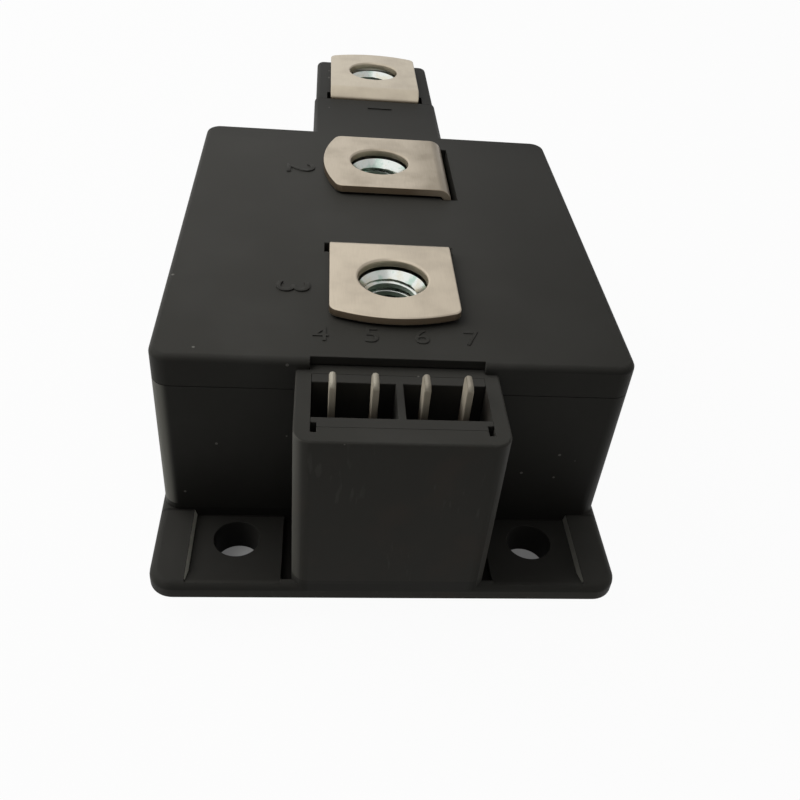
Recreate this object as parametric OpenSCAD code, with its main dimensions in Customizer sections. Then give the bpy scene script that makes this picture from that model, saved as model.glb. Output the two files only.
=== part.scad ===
// Isolated power module with two thyristors in series: copper base plate, moulded housing,
// a row of three screw terminals and a control socket at the front.
// Millimetres, +Z up. The origin is the middle of the base plate's underside, and +Y runs
// to the terminal that overhangs at the back.

/* [Base plate] */
// Thickness of the copper base plate
base_t = 3.5; // [2.5:0.1:5]
// Copper left between a mounting hole's collar and the base plate's end
base_edge = 1.3; // [0.8:0.1:2]
// Step from the foot's sides in to the base plate's sides
base_inset_w = 2; // [1:0.1:4]
// Corner radius of the base plate
base_corner_r = 2.5; // [1:0.1:5]

/* [Mounting holes] */
// Distance between the mounting holes across the module
hole_pitch = 38.8; // [37.5:0.1:41]
// Distance from the body's end wall to a mounting hole's centre
hole_reach = 4.15; // [3.9:0.05:5]
// Diameter of the mounting holes
hole_d = 5.9; // [5:0.1:6.6]
// Wall of the foot's collar around a mounting hole
collar_t = 0.9; // [0.6:0.1:1.1]
// Clearance around that collar in the base plate
collar_gap = 0.1; // [0.05:0.05:0.2]

/* [Body] */
// Width of the body across the module
body_w = 58.6; // [56:0.1:66]
// Length of the body between its end walls
body_l = 66.7; // [65:0.1:76]
// Height of the plastic from the foot's underside to the lid's top
body_h = 27.7; // [26.5:0.1:34]
// Radius of the body's upright corners
body_corner_r = 2.35; // [1.6:0.05:3.5]
// Thickness of the body's walls
wall_t = 2; // [1.6:0.1:2.4]

/* [Foot] */
// Length of the foot in front of and behind the body
ear_l = 12.65; // [12.2:0.05:15]
// Step from the body's sides out to the foot's sides
foot_step = 0.4; // [0.1:0.1:1]
// Corner radius of the foot
foot_corner_r = 3.1; // [2:0.1:4.5]
// Radius along the foot's top edge
foot_edge_r = 1.1; // [0.4:0.1:1.4]
// Height of the foot's rim
rim_h = 2.4; // [2.2:0.1:4]
// Thickness of the foot under the screw heads
pad_t = 1.4; // [1:0.1:2]
// Width of the rim beside a screw pocket
rim_w = 4.5; // [3.5:0.1:5]
// Run of a screw pocket's sloping wall beside the rim
pocket_slope = 0.25; // [0.05:0.05:0.6]
// Length of the ramp from a screw pocket's floor up to the foot's end
ramp_l = 3.2; // [1.5:0.1:4]
// Width of the groove between a screw pad and the control socket
groove_w = 1.3; // [0.8:0.1:1.8]
// Thickness of the foot below that groove
groove_floor_t = 0.5; // [0.4:0.1:0.9]
// Length of foot left in front of that groove
groove_stop = 1.1; // [0.6:0.1:2]

/* [Lid] */
// Height of the lid from its seam with the frame to its top
lid_h = 4.4; // [3.6:0.1:6]
// Thickness of the lid's top
lid_top_t = 2.5; // [1.8:0.1:3]
// Radius along the lid's top edge
top_edge_r = 0.8; // [0.4:0.1:1.2]
// Depth of the lip that centres the lid in the frame
lip_h = 3; // [1.5:0.1:5]
// Thickness of that lip
lip_t = 1.5; // [1:0.1:2]
// Clearance between the lid and the frame
lid_gap = 0.15; // [0.05:0.05:0.3]
// Height and depth of the shadow line along the seam
seam_w = 0.1; // [0.05:0.05:0.4]
// Width of the notch in the lid above the control socket
notch_w = 20.9; // [20:0.1:22]
// Depth of that notch
notch_depth = 0.9; // [0.5:0.1:1.2]

/* [Nose] */
// Width of the nose block that carries the rear terminal
nose_w = 22.1; // [21.6:0.1:26]
// Width of the lid's tongue over the nose
tongue_w = 22.6; // [22.2:0.1:26]
// Height of the nose block
nose_h = 18.5; // [16:0.1:19]
// Distance from the rear terminal's hole to the nose block's end
nose_tip = 8.6; // [8.4:0.1:12]
// Radius of the nose block's rear corners
nose_corner_r = 1.4; // [1.2:0.1:3]

/* [Control socket] */
// Width of the control socket's block
conn_w = 24.2; // [23.4:0.1:26]
// Step from the lid's top down to the control socket's top
conn_drop = 1.3; // [0.8:0.1:2]
// Radius of the block's upright front edges
conn_edge_r = 2; // [0.8:0.1:3]
// Radius along the block's top edge
conn_top_r = 0.3; // [0.1:0.1:0.6]
// Thickness of the block's front wall
conn_front_t = 2.5; // [1.8:0.1:2.8]
// Width of the socket
socket_w = 20.5; // [19.6:0.1:21]
// Length of the socket from front to back
socket_l = 6.2; // [5.2:0.05:6.4]
// Depth of the socket
socket_depth = 9; // [7:0.1:11]
// Thickness of the pin carrier's front wall
carrier_front_t = 1.65; // [1:0.05:1.8]
// Thickness of the pin carrier's rear wall
carrier_rear_t = 1.5; // [1:0.1:1.6]
// Thickness of the pin carrier's floor
carrier_floor_t = 2; // [1.5:0.1:3]
// Width of the ledges that carry the pin carrier
ledge_w = 1; // [0.5:0.1:1.2]
// Clearance around the pin carrier
carrier_gap = 0.05; // [0.05:0.05:0.2]
// Thickness of the divider between the two halves of the socket
divider_t = 0.9; // [0.6:0.1:1.4]
// Width of the key slots at the ends of the pin carrier's front wall
key_w = 0.7; // [0.4:0.1:1]
// Length of the key slots
key_l = 1.6; // [1:0.1:2]
// Depth of the key slots
key_depth = 3; // [1:0.1:5]

/* [Control tabs] */
// Width of a control tab
tab_w = 2.8; // [2.2:0.1:3.4]
// Thickness of a control tab
tab_t = 0.8; // [0.5:0.1:1]
// Height of a control tab above the socket's top
tab_rise = 2.2; // [0.5:0.05:3]
// Chamfer at a control tab's tip
tab_chamfer = 0.5; // [0.2:0.1:0.8]
// Distance between the two tabs of a pair
tab_pitch = 4.9; // [4.6:0.1:5.4]
// Distance between the middles of the two pairs
pair_pitch = 10.8; // [10:0.1:11.4]
// Clearance behind a control tab
tab_back = 0.25; // [0.1:0.05:0.6]
// Width of a tab's tail in the carrier's floor
tail_w = 1.2; // [1:0.1:1.6]
// Length of a tab's tail below the carrier
tail_l = 2; // [1:0.1:3]

/* [Power terminals] */
// Distance between the two terminals on the body
terminal_pitch = 35.3; // [34:0.1:37]
// Distance from the body's middle to the point halfway between those two
terminal_shift = 0.95; // [0:0.05:1.5]
// Distance of the middle terminal's screw hole to the left of the module's middle
side_shift = 0.4; // [0:0.1:0.8]
// Distance from the middle terminal to the rear terminal
nose_pitch = 41.5; // [40.5:0.1:46]
// Thickness of the terminal bars
strap_t = 1.2; // [1:0.1:1.6]
// Bend radius at the middle of a terminal bar's thickness
bend_r = 1.5; // [1.2:0.1:2]
// Width of the front and rear terminals
plate_w = 16.7; // [15:0.1:16.9]
// Width of the middle terminal
side_plate_w = 18.4; // [17:0.1:19.4]
// Gap between the lid and the contact plates
plate_gap = 0.35; // [0.25:0.05:1]
// Diameter of the screw hole in a contact plate
plate_hole_d = 9.2; // [8.8:0.1:10]
// Distance from the front and rear terminals' screw holes to the contact plate's round end
tip_reach = 9.4; // [8:0.1:10]
// Distance from the middle terminal's screw hole to the contact plate's round end
side_tip_reach = 9; // [8:0.1:10]
// Radius of the contact plate's round end
tip_r = 20; // [14:0.5:40]
// Distance from the front terminal's screw hole to its leg's outer face
front_leg_reach = 10.1; // [9.6:0.1:10.5]
// Distance from the middle terminal's screw hole to its leg's outer face
side_leg_reach = 11; // [10.6:0.1:11.4]
// Distance from the rear terminal's screw hole to its leg's outer face
rear_leg_reach = 10.8; // [10.2:0.1:11.4]
// Length of the feet soldered to the substrates
foot_l = 5.5; // [4.5:0.1:6]
// Width of the middle terminal's foot on its chip
side_foot_w = 8.4; // [7:0.1:9]
// Clearance of a leg's slot on its inner face and its bend
slot_inner = 0.1; // [0.05:0.05:0.2]
// Clearance of a leg's slot on its outer face
slot_outer = 0.9; // [0.3:0.1:1]
// Clearance of the front and rear legs' slots at their ends
slot_side = 0.65; // [0.3:0.05:0.8]
// Clearance of the middle leg's slot at its ends
side_slot_gap = 0.15; // [0.1:0.05:0.5]
// Clearance between the rear leg's bend and the nose behind it
nose_gap = 0.9; // [0.1:0.1:1.2]

/* [Nuts] */
// Width of a nut across its flats
nut_af = 13; // [12:0.1:13.2]
// Height of a nut
nut_h = 6.5; // [5:0.1:8]
// Diameter of a nut's bore
nut_bore_d = 6.8; // [6:0.1:7.2]
// Diameter of the countersink at a nut's mouth
nut_mouth_d = 9; // [8:0.1:9.4]
// Depth of that countersink
nut_mouth_h = 1.1; // [0.5:0.1:1.5]
// Gap between a nut and its contact plate
nut_head_gap = 0.4; // [0.1:0.05:0.5]
// Clearance between a nut's flats and its pocket
nut_gap = 0.1; // [0.05:0.05:0.15]
// Wall around a nut pocket
boss_wall = 1.1; // [0.8:0.1:1.1]
// Floor below a screw tip's well
boss_floor = 1.5; // [1:0.1:3]
// Diameter of the screw tip's well below a nut
tip_hole_d = 9; // [8.4:0.1:10]
// Depth of the screw tip's well below a nut
tip_hole_h = 4; // [2:0.1:5]

/* [Substrates and chips] */
// Gap between the two substrates, and from a substrate to the end walls
substrate_gap = 1; // [0.5:0.1:1.5]
// Gap from a substrate to the side walls
substrate_side = 3; // [1:0.1:4]
// Bare edge of the ceramic around its copper
copper_margin = 1; // [0.5:0.1:1.5]
// Thickness of the copper below the ceramic
copper_low_t = 0.3; // [0.2:0.1:0.5]
// Thickness of the ceramic
ceramic_t = 0.6; // [0.3:0.1:1]
// Thickness of the copper on the ceramic
copper_top_t = 0.4; // [0.2:0.1:0.6]
// Side of a square thyristor chip
chip_w = 16; // [14.5:0.1:16.6]
// Thickness of a chip
chip_t = 0.5; // [0.3:0.1:0.6]
// Distance from a chip to the terminal foot beside it
chip_gap = 1.5; // [1:0.1:2]
// Diameter of the buffer disc on a chip
buffer_d = 14; // [12:0.1:14.4]
// Thickness of a buffer disc
buffer_t = 1; // [0.9:0.1:1.5]
// Diameter of the gate hole in a buffer disc
gate_hole_d = 4; // [3:0.1:5]

/* [Inner connections] */
// Thickness of the strap between the two thyristors
bridge_t = 1; // [0.6:0.1:1]
// Width of that strap beside the front terminal
bridge_w = 7; // [4:0.1:8]
// Distance from the middle of the module to that strap
bridge_x = 12.5; // [12:0.1:14]
// Width of that strap on the chip
bridge_pad = 12; // [10:0.1:13]
// Diameter of the control leads
lead_d = 1.3; // [0.9:0.1:1.5]
// Drop of the control leads below their tabs
lead_drop = 4; // [3.5:0.1:5]
// Bend radius of the control leads
lead_bend_r = 2; // [1.5:0.1:2.2]
// Distance between two control leads that run side by side
lead_pitch = 2.2; // [1.8:0.1:3]
// Depth of the silicone gel
gel_h = 7.5; // [5:0.1:9]

/* [Hidden] */

plastic_color = [0.17, 0.17, 0.16];
carrier_color = [0.2, 0.2, 0.19];
copper_color = [0.72, 0.45, 0.32];
nickel_color = [0.78, 0.75, 0.7];
zinc_color = [0.75, 0.79, 0.82];
ceramic_color = [0.93, 0.93, 0.9];
silicon_color = [0.3, 0.32, 0.36];
molybdenum_color = [0.55, 0.55, 0.56];
gate_lead_color = [0.9, 0.88, 0.8];
cathode_lead_color = [0.7, 0.15, 0.12];
gel_color = [0.8, 0.85, 0.88, 0.5];

// Smoothness of round faces, steps along a rounded edge, steps along a bend, sides of a lead
$fn = 64;
edge_steps = 5;
bend_steps = 6;
lead_sides = 10;
lead_steps = 4;
// Overrun of a cut past the face that it opens, and the reach of a cut that clears everything
over = 1;
far = 200;

// Levels
foot_z = base_t;
rim_z = foot_z + rim_h;
pad_z = foot_z + pad_t;
top_z = foot_z + body_h;
seam_z = top_z - lid_h;
lid_under_z = top_z - lid_top_t;
conn_z = top_z - conn_drop;
socket_floor_z = conn_z - socket_depth;
ledge_z = socket_floor_z - carrier_floor_t;
tail_z = ledge_z - tail_l;
lead_run_z = tail_z - lead_drop;
plate_top_z = top_z + plate_gap + strap_t;
plate_mid_z = plate_top_z - strap_t / 2;
nut_top_z = top_z + plate_gap - nut_head_gap;
nut_z = nut_top_z - nut_h;
nose_z = top_z - nose_h;
ceramic_z = base_t + copper_low_t;
copper_z = ceramic_z + ceramic_t;
chip_z = copper_z + copper_top_t;
buffer_z = chip_z + chip_t;
cathode_z = buffer_z + buffer_t;

// Places along the module
body_end = body_l / 2;
ear_end = body_end + ear_l;
inner_w = body_w - 2 * wall_t;
inner_l = body_l - 2 * wall_t;
inner_end = inner_l / 2;
foot_w = body_w + 2 * foot_step;
foot_len = 2 * ear_end;
hole_y = body_end + hole_reach;
collar_d = hole_d + 2 * collar_t;
collar_hole_d = collar_d + 2 * collar_gap;
base_end = hole_y + collar_hole_d / 2 + base_edge;
front_y = terminal_shift - terminal_pitch / 2;
middle_y = terminal_shift + terminal_pitch / 2;
rear_y = middle_y + nose_pitch;
nose_end = rear_y + nose_tip;
front_leg_y = front_y + front_leg_reach - strap_t / 2;
side_x = -side_shift;
side_leg_x = side_x + side_leg_reach - strap_t / 2;
rear_leg_y = rear_y - rear_leg_reach + strap_t / 2;
tongue_end = rear_leg_y - strap_t / 2 - slot_outer;
leg_slot_w = plate_w + 2 * slot_side;
// How far a bend's inner face still stands out from the leg at the lid's top
bend_inner_r = bend_r - strap_t / 2;
bend_rest = max(bend_inner_r - plate_gap, 0);
bend_bulge = bend_inner_r - sqrt(bend_inner_r ^ 2 - bend_rest ^ 2);
seat_front_y = -ear_end + conn_front_t;
socket_front_y = seat_front_y + carrier_gap + carrier_front_t;
socket_rear_y = socket_front_y + socket_l;
seat_rear_y = socket_rear_y + carrier_rear_t + carrier_gap;
tab_y = socket_rear_y - tab_back - tab_w / 2;
tab_xs = [for (pair = [-1, 1], side = [-1, 1]) pair * pair_pitch / 2 + side * tab_pitch / 2];

// Substrates, chips and the bars that land on them
substrate_w = inner_w - 2 * substrate_side;
substrate_l = (inner_l - 3 * substrate_gap) / 2;
substrate_y = (substrate_l + substrate_gap) / 2;
copper_w = substrate_w - 2 * copper_margin;
copper_l = substrate_l - 2 * copper_margin;
copper_end = substrate_y + copper_l / 2;
rear_drop_y = copper_end - copper_margin / 2 - strap_t / 2;
rear_run_z = nose_z + wall_t + slot_inner + strap_t / 2;
chip_a_y = front_leg_y - strap_t / 2 - chip_gap - chip_w / 2;
chip_b_y = rear_drop_y + strap_t / 2 - foot_l - chip_gap - chip_w / 2;
side_foot_top_z = cathode_z + strap_t;
bridge_top_z = cathode_z + bridge_t;
bridge_step_y = substrate_gap / 2 + copper_margin * 2 + bridge_t;

// Outline of a rounded edge: depth r in from a wall, height h, rounded by edge at the top
function edge_profile(r, h, edge) = concat(
    [[0, 0], [r, 0]],
    edge > 0
        ? [for (i = [0:edge_steps]) let (a = 90 * i / edge_steps)
            [r - edge + edge * cos(a), h - edge + edge * sin(a)]]
        : [[r, h]],
    edge < r || edge == 0 ? [[0, h]] : []
);

// Block with round upright corners and a rounded top edge, its base's middle at the origin
module rounded_block(w, l, h, corner, edge = 0) {
    half_w = w / 2 - corner;
    half_l = l / 2 - corner;
    translate([-half_w, -half_l, 0]) cube([2 * half_w, 2 * half_l, h]);
    for (turn = [0, 180]) rotate([0, 0, turn]) {
        translate([half_w, half_l, 0]) rotate([90, 0, 0])
            linear_extrude(2 * half_l) polygon(edge_profile(corner, h, edge));
        rotate([0, 0, 90]) translate([half_l, half_w, 0]) rotate([90, 0, 0])
            linear_extrude(2 * half_w) polygon(edge_profile(corner, h, edge));
        translate([half_w, half_l, 0])
            rotate_extrude(angle = 90) polygon(edge_profile(corner, h, edge));
        rotate([0, 0, 90]) translate([half_l, half_w, 0])
            rotate_extrude(angle = 90) polygon(edge_profile(corner, h, edge));
    }
}

// Box between two corners
module span(low, high) {
    translate(low) cube(high - low);
}

// Outline of a bent bar: a path of square turns, thickened by t with bends of radius r
function left(d) = [-d.y, d.x];
function heading(path, i) = (path[i + 1] - path[i]) / norm(path[i + 1] - path[i]);
function turn_sign(a, b) = sign(a.x * b.y - a.y * b.x);
function bend_side(p, a, b, r, off) = let (s = turn_sign(a, b), c = p - a * r + left(a) * s * r)
    [for (i = [0:bend_steps]) let (turn = 90 * i / bend_steps)
        c + (r - s * off) * (a * sin(turn) - left(a) * s * cos(turn))];
function bar_side(path, r, off) = let (last = len(path) - 1) concat(
    [path[0] + left(heading(path, 0)) * off],
    [for (i = [1:last - 1]) each bend_side(path[i], heading(path, i - 1), heading(path, i), r, off)],
    [path[last] + left(heading(path, last - 1)) * off]
);
function reversed(list) = [for (i = [len(list) - 1:-1:0]) list[i]];
module bar_outline(path, t, r) {
    polygon(concat(bar_side(path, r, t / 2), reversed(bar_side(path, r, -t / 2))));
}

// Bent bar whose path lies in the YZ plane or in the XZ plane, w wide, centred
module bar_along_y(path, w, t, r) {
    rotate([90, 0, 90]) linear_extrude(w, center = true) bar_outline(path, t, r);
}
module bar_along_x(path, w, t, r) {
    rotate([90, 0, 0]) linear_extrude(w, center = true) bar_outline(path, t, r);
}

// What a contact plate loses at its round end, which points to -Y, and its screw hole
module plate_trim(w, reach) {
    difference() {
        span([-w, -reach - over, top_z], [w, 0, plate_top_z + over]);
        translate([0, tip_r - reach, top_z - over]) cylinder(r = tip_r, h = far);
    }
    translate([0, 0, top_z]) cylinder(d = plate_hole_d, h = far);
}

// Hexagonal nut pocket with the screw tip's well below it, flats facing Y
module nut_pocket() {
    pocket_d = (nut_af + 2 * nut_gap) / cos(30);
    translate([0, 0, nut_z]) cylinder(d = pocket_d, h = far, $fn = 6);
    translate([0, 0, nut_z - tip_hole_h]) cylinder(d = tip_hole_d, h = far);
}

// Captive hexagonal nut, flats facing Y
module nut() {
    flare = (nut_mouth_d - nut_bore_d) / nut_mouth_h;
    color(zinc_color) translate([0, 0, nut_z]) difference() {
        cylinder(d = nut_af / cos(30), h = nut_h, $fn = 6);
        translate([0, 0, -over]) cylinder(d = nut_bore_d, h = nut_h + 2 * over);
        translate([0, 0, nut_h - nut_mouth_h])
            cylinder(d1 = nut_bore_d, d2 = nut_mouth_d + flare * over, h = nut_mouth_h + over);
    }
}

// Upright cylinder at each mounting hole, from low to high
module at_mounting_holes(d, low, high) {
    for (x = [-1, 1], y = [-1, 1])
        translate([x * hole_pitch / 2, y * hole_y, low]) cylinder(d = d, h = high - low);
}

// Copper base plate, whose holes take the foot's collars
module base_plate() {
    color(copper_color) difference() {
        rounded_block(foot_w - 2 * base_inset_w, 2 * base_end, base_t, base_corner_r);
        at_mounting_holes(collar_hole_d, -over, base_t + over);
    }
}

// Screw pockets over the ears behind the body, with a ramp at their end and a sloping wall beside the rim
module screw_pockets() {
    pocket_x = foot_w / 2 - rim_w;
    slope = pocket_slope / (rim_z - pad_z);
    low_x = pocket_x - slope * (rim_z - foot_z);
    high_x = pocket_x + slope * over;
    start_y = body_end - wall_t;
    intersection() {
        rotate([90, 0, 90]) linear_extrude(foot_w, center = true) polygon([
            [start_y, pad_z], [ear_end - ramp_l, pad_z], [ear_end, rim_z],
            [ear_end, rim_z + over], [start_y, rim_z + over],
        ]);
        translate([0, ear_end, 0]) rotate([90, 0, 0]) linear_extrude(ear_end - start_y)
            polygon([[-low_x, foot_z], [low_x, foot_z], [high_x, rim_z + over], [-high_x, rim_z + over]]);
    }
}

// Foot with its screw pockets and the groove around the control socket
module foot() {
    pad_x = conn_w / 2 + groove_w;
    difference() {
        translate([0, 0, foot_z]) rounded_block(foot_w, foot_len, rim_h, foot_corner_r, foot_edge_r);
        for (end = [0, 180]) rotate([0, 0, end]) difference() {
            screw_pockets();
            span([-pad_x, 0, 0], [pad_x, far, far]);
        }
        span([-pad_x, -ear_end + groove_stop, foot_z + groove_floor_t], [pad_x, 0, rim_z + over]);
    }
}

// Block of the control socket, flush with the foot's front end
module socket_block() {
    intersection() {
        translate([0, -body_end, foot_z])
            rounded_block(conn_w, 2 * ear_l, conn_z - foot_z, conn_edge_r, conn_top_r);
        span([-conn_w, -ear_end - over, foot_z], [conn_w, -body_end, conn_z + over]);
    }
    span([-notch_w / 2, -body_end, seam_z - over], [notch_w / 2, -inner_end, conn_z]);
}

// Seat of the pin carrier, the space for the leads below it and the key slots
module socket_hollow() {
    duct_w = socket_w - 2 * ledge_w;
    span([-socket_w / 2, seat_front_y, ledge_z], [socket_w / 2, seat_rear_y, conn_z + over]);
    span([-duct_w / 2, seat_front_y, rim_z], [duct_w / 2, -inner_end + over, ledge_z + over]);
    key_slots();
}

module key_slots() {
    key_x = socket_w / 2 - key_w;
    for (x = [-socket_w / 2, key_x])
        span([x, seat_front_y - key_l / 2, conn_z - key_depth],
            [x + key_w, seat_front_y + key_l / 2, conn_z + over]);
}

// Nose that overhangs the foot and holds the rear terminal's nut
module nose() {
    span([-nose_w / 2, body_end - wall_t, nose_z], [nose_w / 2, tongue_end, seam_z]);
    intersection() {
        translate([0, tongue_end, nose_z])
            rounded_block(nose_w, 2 * (nose_end - tongue_end), nose_h, nose_corner_r, top_edge_r);
        span([-nose_w, tongue_end, nose_z], [nose_w, nose_end + over, top_z + over]);
    }
}

// Channel through the nose for the rear terminal's bar
module nose_channel() {
    channel_end = rear_leg_y + strap_t / 2 + bend_bulge + nose_gap;
    span([-leg_slot_w / 2, inner_end - over, nose_z + wall_t], [leg_slot_w / 2, channel_end, top_z + over]);
}

// Moulded frame: foot, walls, control socket block, nose and the collars through the base plate
module housing_frame() {
    color(plastic_color) difference() {
        union() {
            foot();
            translate([0, 0, foot_z]) rounded_block(body_w, body_l, seam_z - foot_z, body_corner_r);
            socket_block();
            nose();
            at_mounting_holes(collar_d, 0, foot_z + pad_t / 2);
        }
        span([-inner_w / 2, -inner_end, 0], [inner_w / 2, inner_end, far]);
        socket_hollow();
        nose_channel();
        translate([0, rear_y, 0]) nut_pocket();
        at_mounting_holes(hole_d, -over, rim_z + over);
    }
}

// Tongue of the lid over the nose, inset all round by step
module tongue(h, step = 0, edge = 0) {
    tongue_l = tongue_end + 2 * nose_corner_r;
    intersection() {
        rounded_block(tongue_w - 2 * step, 2 * tongue_l, h, nose_corner_r, edge);
        span([-tongue_w, 0, 0], [tongue_w, tongue_end, h]);
    }
}

// Outer form of the lid, with the shadow line along its seam
module lid_shell() {
    translate([0, 0, seam_z]) {
        rounded_block(body_w - 2 * seam_w, body_l - 2 * seam_w, seam_w, body_corner_r - seam_w);
        tongue(seam_w, seam_w);
    }
    translate([0, 0, seam_z + seam_w]) {
        rounded_block(body_w, body_l, lid_h - seam_w, body_corner_r, top_edge_r);
        tongue(lid_h - seam_w, 0, top_edge_r);
    }
}

// Hollow under the lid's top
module lid_hollow() {
    tongue_inner = tongue_w / 2 - wall_t;
    span([-inner_w / 2, -inner_end, seam_z - over], [inner_w / 2, inner_end, lid_under_z]);
    span([-tongue_inner, 0, seam_z - over], [tongue_inner, tongue_end + over, lid_under_z]);
}

// Lip inside the frame's walls, open towards the nose
module lid_lip() {
    lip_x = inner_w / 2 - lid_gap;
    lip_y = inner_end - lid_gap;
    gate_x = tongue_w / 2 - wall_t;
    difference() {
        span([-lip_x, -lip_y, seam_z - lip_h], [lip_x, lip_y, lid_under_z]);
        span([lip_t - lip_x, lip_t - lip_y, 0], [lip_x - lip_t, lip_y - lip_t, far]);
        span([-gate_x, 0, 0], [gate_x, far, far]);
    }
}

// Boss below the lid around a nut and its screw tip's well, flats facing Y
module nut_boss() {
    boss_x = (nut_af / 2 + nut_gap) / cos(30) + boss_wall;
    boss_y = nut_af / 2 + nut_gap + boss_wall;
    span([-boss_x, -boss_y, nut_z - tip_hole_h - boss_floor], [boss_x, boss_y, lid_under_z]);
}

// Slot for a leg, w long along X, with the leg's middle at the origin and its outer face towards +Y
module leg_slot(w) {
    inner_y = strap_t / 2 + bend_bulge + slot_inner;
    span([-w / 2, -inner_y, seam_z - lip_h], [w / 2, strap_t / 2 + slot_outer, top_z + over]);
}

// Moulded lid with the nut pockets, leg slots and the notch above the control socket
module top_lid() {
    raised_x = notch_w / 2 + lid_gap;
    color(plastic_color) difference() {
        union() {
            difference() {
                lid_shell();
                lid_hollow();
            }
            lid_lip();
            translate([0, front_y, 0]) nut_boss();
            translate([side_x, middle_y, 0]) rotate([0, 0, -90]) nut_boss();
        }
        translate([0, front_y, 0]) nut_pocket();
        translate([side_x, middle_y, 0]) rotate([0, 0, -90]) nut_pocket();
        translate([0, front_leg_y, 0]) leg_slot(leg_slot_w);
        translate([side_leg_x, middle_y, 0]) rotate([0, 0, -90]) leg_slot(side_plate_w + 2 * side_slot_gap);
        span([-notch_w / 2, -far, 0], [notch_w / 2, notch_depth - body_end, far]);
        span([-raised_x, -far, 0], [raised_x, lid_gap - inner_end, conn_z + lid_gap]);
    }
}

// Insert that holds the control tabs in the socket
module pin_carrier() {
    half_w = socket_w / 2 - carrier_gap;
    front_wall_y = seat_front_y + carrier_gap;
    rear_wall_y = seat_rear_y - carrier_gap;
    color(carrier_color) difference() {
        union() {
            span([-half_w, front_wall_y, ledge_z], [half_w, rear_wall_y, socket_floor_z]);
            span([-half_w, front_wall_y, ledge_z], [half_w, socket_front_y, conn_z]);
            span([-half_w, socket_rear_y, ledge_z], [half_w, rear_wall_y, conn_z]);
            span([-divider_t / 2, front_wall_y, ledge_z], [divider_t / 2, rear_wall_y, conn_z]);
        }
        key_slots();
        for (x = tab_xs)
            translate([x, tab_y, 0])
                span([-tab_t / 2, -tail_w / 2, 0], [tab_t / 2, tail_w / 2, socket_floor_z + over]);
    }
}

// Blade tab with its tail through the carrier's floor
module control_tab(index) {
    tab_z = conn_z + tab_rise;
    blade = [
        [-tab_w / 2, socket_floor_z], [-tail_w / 2, socket_floor_z], [-tail_w / 2, tail_z],
        [tail_w / 2, tail_z], [tail_w / 2, socket_floor_z], [tab_w / 2, socket_floor_z],
        [tab_w / 2, tab_z - tab_chamfer], [tab_w / 2 - tab_chamfer, tab_z],
        [tab_chamfer - tab_w / 2, tab_z], [-tab_w / 2, tab_z - tab_chamfer],
    ];
    color(nickel_color) translate([tab_xs[index], tab_y, 0]) rotate([90, 0, 90])
        linear_extrude(tab_t, center = true) polygon(blade);
}

// Rear terminal: contact plate on the nose, leg, bar through the nose and foot on the rear substrate
module terminal_1() {
    foot_mid_z = chip_z + strap_t / 2;
    path = [
        [rear_y + tip_reach, plate_mid_z], [rear_leg_y, plate_mid_z], [rear_leg_y, rear_run_z],
        [rear_drop_y, rear_run_z], [rear_drop_y, foot_mid_z],
        [rear_drop_y + strap_t / 2 - foot_l, foot_mid_z],
    ];
    color(nickel_color) difference() {
        bar_along_y(path, plate_w, strap_t, bend_r);
        translate([0, rear_y, 0]) rotate([0, 0, 180]) plate_trim(plate_w, tip_reach);
    }
}

// Middle terminal: its leg stands on the right and its foot lies on the rear chip's buffer disc
module terminal_2() {
    foot_mid_z = cathode_z + strap_t / 2;
    leg_low_z = side_foot_top_z + 2 * bend_r;
    leg = [[side_x - side_tip_reach, plate_mid_z], [side_leg_x, plate_mid_z], [side_leg_x, leg_low_z]];
    foot = [[side_leg_x, leg_low_z + strap_t], [side_leg_x, foot_mid_z], [-buffer_d / 2, foot_mid_z]];
    color(nickel_color) difference() {
        union() {
            translate([0, middle_y, 0]) bar_along_x(leg, side_plate_w, strap_t, bend_r);
            translate([0, chip_b_y, 0]) bar_along_x(foot, side_foot_w, strap_t, bend_r);
        }
        translate([side_x, middle_y, 0]) rotate([0, 0, -90]) plate_trim(side_plate_w, side_tip_reach);
        translate([0, chip_b_y, 0]) cylinder(d = gate_hole_d, h = side_foot_top_z + over);
    }
}

// Front terminal: its leg stands at the back and its foot lies on the front substrate
module terminal_3() {
    foot_mid_z = chip_z + strap_t / 2;
    path = [
        [front_y - tip_reach, plate_mid_z], [front_leg_y, plate_mid_z],
        [front_leg_y, foot_mid_z], [front_leg_y - strap_t / 2 + foot_l, foot_mid_z],
    ];
    color(nickel_color) difference() {
        bar_along_y(path, plate_w, strap_t, bend_r);
        translate([0, front_y, 0]) plate_trim(plate_w, tip_reach);
    }
}

// Layers of a substrate: end is -1 at the front and 1 at the back
module substrate_layer(end, w, l, z, t) {
    translate([-w / 2, end * substrate_y - l / 2, z]) cube([w, l, t]);
}
module low_copper(end) {
    color(copper_color) substrate_layer(end, copper_w, copper_l, base_t, copper_low_t);
}
module ceramic(end) {
    color(ceramic_color) substrate_layer(end, substrate_w, substrate_l, ceramic_z, ceramic_t);
}
module top_copper(end) {
    color(copper_color) substrate_layer(end, copper_w, copper_l, copper_z, copper_top_t);
}

// Thyristor chip, centred at y
module thyristor_chip(y) {
    color(silicon_color) translate([-chip_w / 2, y - chip_w / 2, chip_z]) cube([chip_w, chip_w, chip_t]);
}

// Buffer disc on a chip's cathode, with the gate's hole
module buffer_disc(y) {
    color(molybdenum_color) translate([0, y, buffer_z]) difference() {
        cylinder(d = buffer_d, h = buffer_t);
        translate([0, 0, -over]) cylinder(d = gate_hole_d, h = buffer_t + 2 * over);
    }
}

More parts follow.
